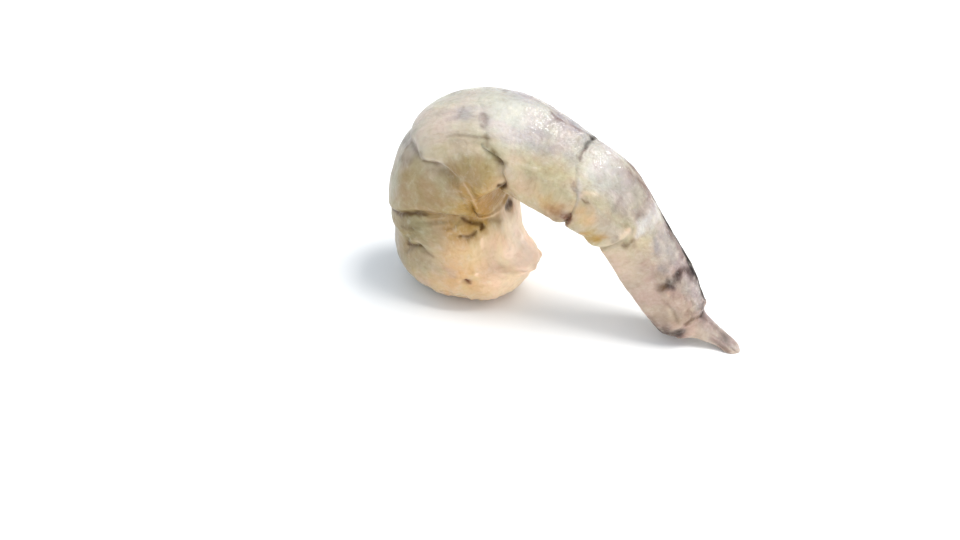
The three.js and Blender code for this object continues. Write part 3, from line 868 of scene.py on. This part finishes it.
# %% Strokes on the fifth ring and its creases
STROKES += [
    # fourth to fifth ring; the mauve line low in its crease is painted shade
    ("ink", 1.0, 0.6, [(46.1, -56), (46.2, -40), (46.5, -20)]),
    ("ink", 0.65, 0.45, [(46.6, -18), (46.4, -7), (46.5, 1)]),
    ("mauve_and_painted_shade", 0.7, 0.32, [(46.5, 2), (46.6, 13), (47.0, 23)]),
    ("mauve_and_painted_shade", 0.45, 0.4, [(48.0, 58), (48.3, 68), (48.8, 74)]),
    ("rust", 0.75, 0.65, [(48.8, 114), (49.6, 117), (50.4, 126), (50.6, 140)]),
    ("rust", 0.7, 0.5, [(50.2, 110), (50.8, 113), (50.6, 120)]),
    ("rust", 0.35, 1.3, [(46.4, 108), (47.8, 110), (48.8, 110)]),
    ("amber", 0.5, 1.4, [(44.6, 106), (46.4, 108), (48.0, 104)]),
    ("bark_and_painted_shade", 0.6, 0.4, [(50.4, 79), (51.0, 81), (51.4, 76)]),
    ("blush_and_painted_light", 0.3, 0.45, [(49.8, 78), (50.2, 66), (51.4, 54)]),
    ("olive", 0.6, 1.0, [(56.0, -20), (56.3, 0), (56.7, 28), (57.5, 58)]),
    ("mauve_and_painted_shade", 0.35, 0.5, [(56.6, -34), (56.9, -10), (57.1, 16), (57.5, 36)]),
    ("milky_and_painted_light", 0.6, 0.8, [(58.2, -20), (58.4, 0), (58.8, 26), (59.7, 52)]),
    ("milky_and_painted_light", 0.4, 0.5, [(48.4, 50), (49.2, 62), (49.7, 78), (50.1, 92)]),
    # fifth ring
    ("mauve_and_painted_shade", 0.6, 1.1, [(52.6, -14), (54.2, -16), (55.4, -20), (56.8, -24)]),
    ("mauve_and_painted_shade", 0.7, 1.2, [(52.0, -32), (54.6, -34), (57.2, -36)]),
    ("mauve_and_painted_shade", 0.35, 0.35, [(53.9, 26), (54.2, 40), (54.6, 56)]),
    ("peach", 0.4, 1.1, [(51.0, 99), (52.6, 97), (54.0, 95)]),
    ("amber", 0.6, 0.7, [(54.6, 118), (55.6, 112), (56.6, 106), (57.6, 100)]),
    ("amber", 0.6, 0.8, [(55.8, 130), (56.8, 120), (57.8, 108)]),
    ("blush_and_painted_light", 0.4, 0.45, [(58.2, 56), (58.6, 70), (58.9, 84)]),
    ("mauve_and_painted_shade", 0.4, 0.5, [(58.4, 86), (59.2, 96)]),
]
print(f"{len(STROKES)} strokes so far")

# %% Strokes on the sixth ring and the tail tip
STROKES += [
    # sixth ring: the near-black line along the back and the stripe down the side
    ("ink", 1.0, 0.7, [
        (57.2, -33), (60.0, -31), (62.2, -29), (64.0, -29), (66.0, -27), (68.0, -21), (70.0, -16),
    ]),
    ("mauve_and_painted_shade", 0.6, 1.2, [(60.0, -24), (63.0, -19), (67.4, -13), (69.0, -8)]),
    ("mauve_and_painted_shade", 0.7, 1.4, [(52.0, -36), (56.0, -42), (60.0, -42), (66.0, -38), (70.0, -32), (76.0, -34)]),
    ("ink", 1.0, 1.3, [(68.8, -19), (70.6, -14), (72.4, -16)]),
    ("ink", 1.0, 0.7, [(61.6, -29), (62.2, -26), (62.9, -26)]),
    ("ink", 1.0, 0.9, [(71.6, -21), (73.6, -22), (75.6, -24), (77.0, -21)]),
    ("mauve_and_painted_shade", 1.0, 0.8, [(70.8, -14), (70.4, 0), (69.4, 14), (68.7, 26)]),
    ("ink", 0.5, 0.6, [(70.4, -6), (70.0, 4), (69.3, 14), (68.8, 24)]),
    ("ink", 0.7, 0.85, [(68.6, 28), (69.2, 34), (69.6, 42), (69.7, 52)]),
    ("ink", 0.5, 0.6, [(68.8, 50), (69.6, 51), (70.6, 50)]),
    ("bark_and_painted_shade", 0.6, 0.8, [(69.4, 61), (69.8, 66), (70.4, 70)]),
    ("mauve_and_painted_shade", 0.65, 1.2, [(69.4, 28), (69.8, 50), (70.0, 68)]),
    ("lilac", 0.5, 0.6, [(66.0, 46), (66.9, 45), (67.8, 39)]),
    ("blush_and_painted_light", 0.6, 0.4, [(71.0, 60), (71.4, 65)]),
    ("bark_and_painted_shade", 0.35, 0.4, [(74.7, 28), (74.9, 33)]),
    ("bark_and_painted_shade", 0.6, 0.45, [(59.9, 62), (60.3, 74), (60.0, 84)]),
    ("lilac", 0.6, 0.9, [(62.0, 26), (63.0, 30), (63.6, 36)]),
    ("bark_and_painted_shade", 0.3, 0.4, [(71.8, 80), (73.4, 76), (75.2, 76), (76.6, 82)]),
    ("bark_and_painted_shade", 0.25, 0.35, [(74.0, 27), (75.4, 31), (76.3, 43), (75.7, 51)]),
    ("bark_and_painted_shade", 0.25, 0.5, [(76.9, 35), (76.6, 46), (76.0, 58)]),
    # root and tip of the tail
    ("ink", 0.5, 0.4, [(76.9, -6), (77.5, 5), (77.9, 15)]),
    ("ink", 0.7, 0.6, [(79.2, 4), (79.6, 14), (79.4, 24)]),
    ("mauve_and_painted_shade", 0.7, 0.8, [(76.9, -24), (77.4, -6), (78.6, 2)]),
    ("bark_and_painted_shade", 0.6, 0.6, [(79.2, 28), (78.4, 46), (77.9, 60), (78.1, 78)]),
    ("ink", 0.75, 1.0, [(76.0, 132), (77.2, 124), (78.0, 112), (78.3, 98)]),
    ("mauve_and_painted_shade", 0.6, 1.4, [(73.6, 140), (75.6, 134), (77.0, 122), (77.8, 106)]),
    ("mauve_and_painted_shade", 0.6, 0.6, [(79.6, 12), (82.4, 6), (84.2, 2), (86.6, -2)]),
    ("mauve_and_painted_shade", 0.35, 0.6, [(83.0, 88), (84.6, 92), (86.4, 100)]),
    ("rust", 0.35, 0.5, [(84.6, 96), (85.6, 92), (86.6, 90)]),
    ("ink", 0.35, 0.5, [(83.6, 16), (85.2, 18)]),
]
print(f"{len(STROKES)} strokes so far")

# %% Draw the strokes
PATCH_SIZE = 1.1  # mm
NARROWEST, WIDEST = 0.6, 1.4  # shares of a stroke's width, which changes from patch to patch
END_WIDTH = 0.55  # the share of its width that a stroke has at its two ends
FAR_SHIFT = 0.5  # the far flank is alike but not the same: its strokes lie this much nearer to the tail,
FAR_AROUND = 0.96  # this much nearer to the back,
FAR_STRENGTH = 0.8  # and are this much fainter
patches = smooth_step(noise_at(unrolled / PATCH_SIZE, 15), -0.6, 0.6)
patchy = NARROWEST + (WIDEST - NARROWEST) * patches


def draw_stroke(tint, strength, width, line):
    """Lays a patchy stroke of pigment, or of painted shade or highlight, along a line on the skin."""
    away, _, progress = along_line(line)
    narrowed = END_WIDTH + (1 - END_WIDTH) * tapered(progress)
    lay(tint, strength * bell(away, width * patchy * narrowed))


for tint, strength, width, line in STROKES:
    draw_stroke(tint, strength, width, line)
    if min(around for _, around in line) >= NEAR_ONLY:
        far_line = [(place + FAR_SHIFT, -FAR_AROUND * around) for place, around in line]
        draw_stroke(tint, FAR_STRENGTH * strength, width, far_line)
print(f"ink covers {(paint['ink'] > 0.5).mean():.1%} of the points")

# %% Store the masks on the mesh
def for_each_vertex(values):
    """Values on the grid, as the closed mesh has them: one at each end, and one for each point between."""
    return np.concatenate([values[:1, 0], values[1:-1].reshape(-1, *values.shape[2:]), values[-1:, 0]])


def store(name, kind, field, values):
    """Adds an attribute to the flesh mesh, for the material to read."""
    attribute = flesh_mesh.attributes.new(name, kind, "POINT")
    attribute.data.foreach_set(field, for_each_vertex(values).astype(np.float32).ravel())


for tint, share in paint.items():
    store(tint, "FLOAT", "value", share)
store("unrolled", "FLOAT_VECTOR", "vector", unrolled)
print("the mesh carries", ", ".join([*paint, "unrolled"]))

# %% [markdown]
# ## Shader maths as expressions
#
# A material is a web of small nodes. In the Shader Editor they are joined by hand, and in code that makes
# a long list of calls that is hard to read. This class wraps the output of a node, so that masks can be
# added, taken away and multiplied like numbers, and a formula in the code adds the Math nodes it needs.

# %% A wire of the node web
class Wire:
    """The output of a node in a material or in the sky. Arithmetic on wires adds Math nodes."""

    tree = None  # the web that new nodes go into

    def __init__(self, socket):
        self.socket = socket

    @classmethod
    def node(cls, kind, settings=None, sockets=None, output=0):
        """Adds a node: its type, its settings, then the values or the wires of its sockets."""
        made = cls.tree.nodes.new("ShaderNode" + kind)
        for name, value in (settings or {}).items():
            setattr(made, name, value)
        for name, value in (sockets or {}).items():
            if isinstance(value, Wire):
                cls.tree.links.new(value.socket, made.inputs[name])
            else:
                made.inputs[name].default_value = value
        return cls(made.outputs[output])

    def math(self, operation, *others, clamp=False):
        inputs = dict(enumerate((self, *others)))
        return Wire.node("Math", {"operation": operation, "use_clamp": clamp}, inputs)

    def __add__(self, other):
        return self.math("ADD", other)

    def __sub__(self, other):
        return self.math("SUBTRACT", other)

    def __rsub__(self, other):
        return Wire.node("Math", {"operation": "SUBTRACT"}, {0: other, 1: self})

    def __mul__(self, other):
        return self.math("MULTIPLY", other)

    __radd__ = __add__
    __rmul__ = __mul__

    def clamped(self):
        return self.math("ADD", 0.0, clamp=True)

    def between(self, low, high):
        """0 below low, 1 above high, and smooth in between."""
        return Wire.node(
            "MapRange", {"interpolation_type": "SMOOTHSTEP"},
            {"Value": self, "From Min": low, "From Max": high},
        )


print("wires can be added, taken away, multiplied, clamped and eased")

# %% Masks, noise and colours as wires
def mask(tint):
    """The mask of a pigment on the mesh."""
    return Wire.node("Attribute", {"attribute_name": tint}, output="Fac")


def grain(place, size, detail=2.0, roughness=0.5, output="Fac"):
    """Noise from 0 to 1 at a place on the unrolled prawn; size is the size of its lumps in mm."""
    return Wire.node(
        "TexNoise", {"noise_dimensions": "3D"},
        {"Vector": place, "Scale": 1 / size, "Detail": detail, "Roughness": roughness}, output=output,
    )


def blend(factor, one, other, how="MIX"):
    """Mixes two colours."""
    sockets = {0: factor, 6: one, 7: other}
    return Wire.node("Mix", {"data_type": "RGBA", "blend_type": how}, sockets, output=2)


def colour(red, green, blue):
    """A colour of the screen, 0 to 255, in Blender's linear light."""
    return (*(((c / 255 + 0.055) / 1.055) ** 2.4 for c in (red, green, blue)), 1.0)


print("middle grey is", round(colour(128, 128, 128)[0], 3), "in linear light")

# %% [markdown]
# ## Wet, slightly see-through flesh
#
# The pigments are mixed over the bare flesh in turn, each broken up by noise so that no edge looks sprayed.
# The flesh has a cast that drifts from green to pink, fibres and grain darken and lighten it a little, and
# chromatophores, the tiny dots that let a living prawn change colour, are speckled over the pigmented
# parts. A film of water makes it glossy, most of all where membrane is left, and dull where it is black.
# Light that goes a little way into it and comes out again (subsurface scattering) keeps it from looking
# like painted clay. Everything that differs from place to place reaches the shader by its colour, its
# roughness or its bumps, which is all that an exported model can keep.

# %% The colours of the bare flesh and the pigments
FLESH = colour(185, 173, 149)
TINT_COLOURS = {
    # milky and blush also serve as painted light, pearl is painted light only, and bark and mauve also
    # serve as painted shade
    "milky_and_painted_light": colour(196, 195, 197),
    "olive": colour(144, 129, 85),
    "tan": colour(162, 134, 88),
    "amber": colour(178, 138, 68),
    "peach": colour(222, 179, 125),
    "rosy": colour(186, 158, 152),
    "lilac": colour(146, 143, 149),
    "blush_and_painted_light": colour(242, 214, 188),
    "pearl_painted_light": colour(252, 231, 212),
    "mauve_and_painted_shade": colour(114, 96, 91),
    "bark_and_painted_shade": colour(88, 58, 14),
    "rust": colour(106, 54, 28),
    "ink": colour(26, 17, 16),
}
print(f"{len(TINT_COLOURS)} pigments have colours")

# %% The grain of the flesh
flesh = bpy.data.materials.new("prawn_flesh")
flesh.use_nodes = True
Wire.tree = flesh.node_tree
shader = flesh.node_tree.nodes["Principled BSDF"]
SWIRL = (1.2, 1.2, 1.2)  # how far, in mm, places are stirred before the noise is read at them
ACROSS_RINGS = (1.0, 0.3, 0.3)  # stretches noise around the body, as the muscle fibres run
place = Wire.node("Attribute", {"attribute_name": "unrolled"}, output="Vector")
stirred = grain(place, 2.5, detail=3.0, output="Color")
swirled = Wire.node("VectorMath", {"operation": "MULTIPLY_ADD"}, {0: stirred, 1: SWIRL, 2: place})
stretched = Wire.node("VectorMath", {"operation": "MULTIPLY"}, {0: swirled, 1: ACROSS_RINGS})
mottling = grain(swirled, 1.8, detail=4.0, roughness=0.6)
warmth = grain(swirled, 3.0, detail=3.0, roughness=0.6)
speckle = grain(swirled, 0.6, detail=3.0, roughness=0.55)
fibre = grain(stretched, 0.55)
print(f"the grain has {len(flesh.node_tree.nodes)} nodes so far")

# %% Pigments over the bare flesh
THINNEST, MOTTLED = 0.55, 0.9  # a pigment's strength where the mottling is 0, and what it gains by it
skin_colour = FLESH
for tint in TINTS:
    amount = (mask(tint) * (THINNEST + MOTTLED * mottling)).clamped()
    skin_colour = blend(amount, skin_colour, TINT_COLOURS[tint])
print(f"{len(TINTS)} pigments are mixed")

# %% Casts, dark and pale spots
CAST = 0.6  # how much of the cast is seen
GREENISH, PINKISH = (0.94, 1.0, 0.9, 1), (1.0, 0.92, 0.92, 1)
SHADE = (0.68, 0.62, 0.54, 1)
PALE = colour(240, 235, 224)
# each kind of spot: its noise, where it starts and is full in the noise, and how strong it is
DARK_SPOTS = [(mottling, 0.45, 0.75, 0.3), (speckle, 0.45, 0.75, 0.25), (fibre, 0.45, 0.75, 0.2)]
PALE_SPOTS = [(1 - mottling, 0.5, 0.75, 0.13), (1 - speckle, 0.55, 0.8, 0.12)]


def spots(kinds):
    """The strengths of several kinds of spot together, up to full."""
    return sum(grains.between(low, high) * strength for grains, low, high, strength in kinds).clamped()


cast = blend(warmth.between(0.35, 0.65), GREENISH, PINKISH)
skin_colour = blend(CAST, skin_colour, cast, how="MULTIPLY")
skin_colour = blend(spots(DARK_SPOTS), skin_colour, SHADE, how="MULTIPLY")
skin_colour = blend(spots(PALE_SPOTS), skin_colour, PALE)
print(f"{len(DARK_SPOTS)} kinds of dark spot and {len(PALE_SPOTS)} of pale spot are mixed in")

# %% Chromatophores
DOT_SIZE = 0.6  # mm from one dot to the next
DOT_CORE, DOT_EDGE = 0.1, 0.3  # a dot's full part and its edge, as shares of that
DOT_STRENGTH = 0.6
DOT_COLOUR = colour(92, 74, 70)
DOTTED = ("lilac", "ink", "mauve_and_painted_shade")  # the pigments that have dots
DOT_SHARE = 0.5  # how much of such a pigment counts
from_dot = Wire.node(
    "TexVoronoi", {"feature": "F1"}, {"Vector": place, "Scale": 1 / DOT_SIZE}, output="Distance"
)
dotted = sum(mask(tint) * DOT_SHARE for tint in DOTTED).clamped()
specks = (1 - from_dot.between(DOT_CORE, DOT_EDGE)) * dotted * mottling.between(0.35, 0.65)
skin_colour = blend(specks * DOT_STRENGTH, skin_colour, DOT_COLOUR)
flesh.node_tree.links.new(skin_colour.socket, shader.inputs["Base Color"])
print(f"dots stand {DOT_SIZE} mm apart")

# %% A film of water
WET = 0.3  # the roughness of wet flesh
THIN_FILM = 0.2  # what a thinner film adds to it
GLOSS = 0.24  # what membrane takes off it
DULL = 0.6  # what ink adds to it
film = grain(place, 2.5, detail=3.0)
membrane = (mask("milky_and_painted_light") + mask("lilac")).clamped()
roughness = WET + THIN_FILM * film - GLOSS * membrane + DULL * mask("ink")
flesh.node_tree.links.new(roughness.socket, shader.inputs["Roughness"])
shader.inputs["IOR"].default_value = 1.35  # water and flesh
shader.inputs["Specular IOR Level"].default_value = 0.36
print("membrane is the glossiest and ink the dullest")

# %% Fine bumps
BUMP_STRENGTH = 0.7
BUMP_HEIGHT = 0.0003  # metres
FIBRES, SPECKLES, PEBBLES = 0.3, 0.4, 0.2  # how much of each is in the bumps
MEMBRANE_PEBBLES = 0.6  # and what membrane adds to the pebbles
pebbles = grain(place, 0.5)
height = fibre * FIBRES + speckle * SPECKLES + pebbles * (PEBBLES + MEMBRANE_PEBBLES * membrane)
bumps = Wire.node(
    "Bump", {}, {"Strength": BUMP_STRENGTH, "Distance": BUMP_HEIGHT, "Height": height}, output="Normal"
)
flesh.node_tree.links.new(bumps.socket, shader.inputs["Normal"])
print(f"bumps are up to {BUMP_HEIGHT / MM} mm high")

# %% Light inside the flesh, and the finished piece
shader.inputs["Subsurface Weight"].default_value = 0.35
shader.inputs["Subsurface Radius"].default_value = (1.0, 0.75, 0.5)  # red light goes the deepest
shader.inputs["Subsurface Scale"].default_value = 0.0008  # metres
flesh_mesh.materials.append(flesh)
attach(prawn, "root")
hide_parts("prawn")
print(f"the material has {len(flesh.node_tree.nodes)} nodes")

# %% [markdown]
# ## The table
#
# The table is plain and pale, so that nothing draws the eye away from the flesh. It could be modelled with
# thickness and edges, but none of that would be seen, so it is a single large face.

# %% The table
FLOOR_REACH = 3.0
FLOOR_PAINT = (0.92, 0.92, 0.92, 1)
floor_mesh = bpy.data.meshes.new("floor")
corners = [(-FLOOR_REACH, -FLOOR_REACH, 0), (FLOOR_REACH, -FLOOR_REACH, 0)]
corners += [(FLOOR_REACH, FLOOR_REACH, 0), (-FLOOR_REACH, FLOOR_REACH, 0)]
floor_mesh.from_pydata(corners, [], [(0, 1, 2, 3)])
floor = bpy.data.objects.new("floor", floor_mesh)
bpy.context.scene.collection.objects.link(floor)
floor_paint = bpy.data.materials.new("floor_paint")
floor_paint.use_nodes = True
floor_shader = floor_paint.node_tree.nodes["Principled BSDF"]
floor_shader.inputs["Base Color"].default_value = FLOOR_PAINT
floor_shader.inputs["Roughness"].default_value = 0.8
floor_mesh.materials.append(floor_paint)
print(f"the table is {2 * FLOOR_REACH} m wide")

# %% [markdown]
# ## The camera
#
# The camera looks down at the flank that faces -Y. It has a long lens at a fixed distance, because food
# looks distorted when a lens comes near. One could aim a camera with a Track To constraint. Here it is
# moved sideways and up, and not turned, until the start of the middle line stands at its place in the
# frame, so that the direction of view, which decides what hides what, can be chosen by itself.

# %% The camera
PICTURE_WIDE, PICTURE_HIGH = 960, 540
HEAD_END_PIXEL = (465, 278)  # where the start of the middle line stands in the frame
PIXELS_PER_MM = 5.88
CAMERA_DISTANCE = 0.4  # metres
CAMERA_YAW = math.radians(25)
CAMERA_RISE = math.radians(35)
SENSOR = 36.0  # mm
CLIP_START = 0.01

forward = Vector((
    -math.sin(CAMERA_YAW) * math.cos(CAMERA_RISE),
    math.cos(CAMERA_YAW) * math.cos(CAMERA_RISE),
    -math.sin(CAMERA_RISE),
))
right = Vector((math.cos(CAMERA_YAW), math.sin(CAMERA_YAW), 0))
above = right.cross(forward)
pixel = MM / PIXELS_PER_MM
aside = (HEAD_END_PIXEL[0] - PICTURE_WIDE / 2) * pixel
over = (PICTURE_HIGH / 2 - HEAD_END_PIXEL[1]) * pixel
anchor = Vector((SHIFT * MM, 0, 0))
camera_data = bpy.data.cameras.new("camera")
camera_data.sensor_width = SENSOR
camera_data.lens = SENSOR * PIXELS_PER_MM * CAMERA_DISTANCE / MM / PICTURE_WIDE
camera_data.clip_start = CLIP_START
camera = bpy.data.objects.new("camera", camera_data)
bpy.context.scene.collection.objects.link(camera)
camera.location = anchor - forward * CAMERA_DISTANCE - right * aside - above * over
camera.rotation_euler = Matrix((right, above, -forward)).transposed().to_euler()
bpy.context.scene.camera = camera
print(f"the lens is {camera_data.lens:.0f} mm")

# %% [markdown]
# ## The light
#
# Soft light suits wet food: it shows the form without hard edges. An environment texture could light the
# prawn, but lamps can be moved one at a time. The key lamp stands high on the right and throws a short
# shadow to the left. A weaker fill lamp, low on the right, lights the flesh under the arch. Neither of them
# is mirrored in the wet skin. A small third lamp behind the prawn is seen only as a reflection: it makes
# the sparks on the rings. The sky is bright overhead and dimmer towards the horizon.

# %% The sky
SKY_STRENGTH = 0.9
LOW_SKY, HIGH_SKY = (0.5, 0.54, 0.59, 1), (0.83, 0.9, 0.97, 1)
world = bpy.data.worlds.new("studio")
bpy.context.scene.world = world
world.use_nodes = True
Wire.tree = world.node_tree
direction = Wire.node("TexCoord", output="Generated")
height_in_sky = Wire.node("SeparateXYZ", {}, {0: direction}, output="Z")
sky = blend(height_in_sky.between(0.05, 0.75), LOW_SKY, HIGH_SKY)
background = world.node_tree.nodes["Background"]
world.node_tree.links.new(sky.socket, background.inputs["Color"])
background.inputs["Strength"].default_value = SKY_STRENGTH
print(f"the sky has {len(world.node_tree.nodes)} nodes")

# %% The lamps
LAMP_COLOUR = (1.0, 0.98, 0.95)
LOOKED_AT = Vector((0, 0, 0.015))  # the middle of the prawn


def soft_box(name, place, size, power):
    """A square lamp that looks at the prawn; its place and size are in metres and its power in watts."""
    light = bpy.data.lights.new(name, "AREA")
    light.shape = "SQUARE"
    light.size = size
    light.energy = power
    light.color = LAMP_COLOUR
    lamp = bpy.data.objects.new(name, light)
    bpy.context.scene.collection.objects.link(lamp)
    lamp.location = place
    lamp.rotation_euler = (LOOKED_AT - Vector(place)).to_track_quat("-Z", "Y").to_euler()
    return lamp


key = soft_box("key", (0.28, 0.1, 0.63), 0.35, 5.6)
key.visible_glossy = False
fill = soft_box("fill", (0.54, -0.2, 0.12), 0.3, 1.3)
fill.visible_glossy = False
spark = soft_box("spark", (0.15, 0.54, 0.48), 0.035, 1.5)
spark.visible_diffuse = False
bpy.context.scene.view_settings.view_transform = "Standard"
print("lamps:", ", ".join(lamp.name for lamp in (key, fill, spark)))
